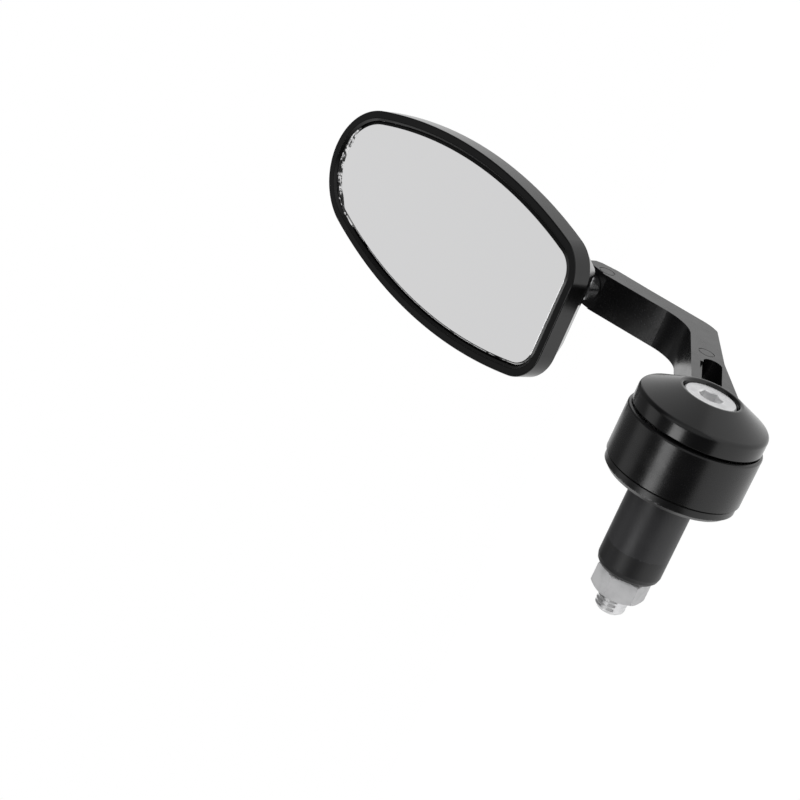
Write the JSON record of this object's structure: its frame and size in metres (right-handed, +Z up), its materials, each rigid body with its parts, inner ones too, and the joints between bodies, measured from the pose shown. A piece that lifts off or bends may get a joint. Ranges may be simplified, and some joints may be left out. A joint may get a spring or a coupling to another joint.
{
  "type": "motorcycle bar end mirror",
  "caption": "Bar end mirror: an expanding plug for the handlebar, a clamping ring on a hub, a cranked slotted arm and a ball-mounted oval mirror head",
  "frame": {"origin": "centre of the hub's flange face that meets the end of the handlebar, on the bar's axis", "axes": "+X out of the bar end to the cap, +Y forward along the slotted arm, +Z up; the glass faces rearward and up"},
  "size_m": [0.0753, 0.1523, 0.1323],
  "materials": {
    "black_satin": "black anodised, satin",
    "black_cast": "die cast, black paint, semi gloss",
    "rubber_black": "moulded, satin",
    "zinc": "zinc plated",
    "bolt_steel": "plated, satin",
    "chrome": "plated, bright",
    "plated": "plated",
    "spring": "spring steel",
    "acetal": "moulded acetal",
    "shell_black": "moulded, black paint, semi gloss",
    "foam": "adhesive foam",
    "mirror": "silvered glass, polished bevel"
  },
  "bodies": {
    "bar_plug": {"end_cap": "black_satin", "clamp_hub": "black_satin", "expander_sleeve": "rubber_black", "expander_nut": "zinc", "expander_bolt": "bolt_steel"},
    "arm": {"arm": "black_cast", "clamp_screw": "zinc", "ball_stud": "chrome", "stud_screw": "zinc", "stud_washer": "zinc"},
    "rear_ball_seat": {"rear_seat": "acetal"},
    "front_ball_seat": {"front_seat": "acetal"},
    "head": {"head_shell": "shell_black", "glass_pad": "foam", "mirror_glass": "mirror", "pressure_ring": "plated", "spring_washer": "spring", "retainer_plate": "plated", "retainer_screw_1": "zinc", "retainer_screw_2": "zinc", "retainer_screw_3": "zinc"}
  },
  "joints": [
    {"name": "arm_swing", "type": "hinge", "parent": "bar_plug", "child": "arm", "pos_m": [0.0105, 0, 0], "axis": [1, 0, 0], "continuous": true},
    {"name": "head_nod", "type": "hinge", "parent": "arm", "child": "rear_ball_seat", "pos_m": [0.0094, 0.07981, 0.04917], "axis": [1, 0, 0], "range_deg": [-14, 14]},
    {"name": "head_pan", "type": "hinge", "parent": "rear_ball_seat", "child": "front_ball_seat", "pos_m": [0.0094, 0.07981, 0.04917], "axis": [0, 0.6997, 0.7145], "range_deg": [-14, 14]},
    {"name": "head_twist", "type": "hinge", "parent": "front_ball_seat", "child": "head", "pos_m": [0.0094, 0.07981, 0.04917], "axis": [0, -0.7145, 0.6997], "range_deg": [-145, 145]}
  ]
}
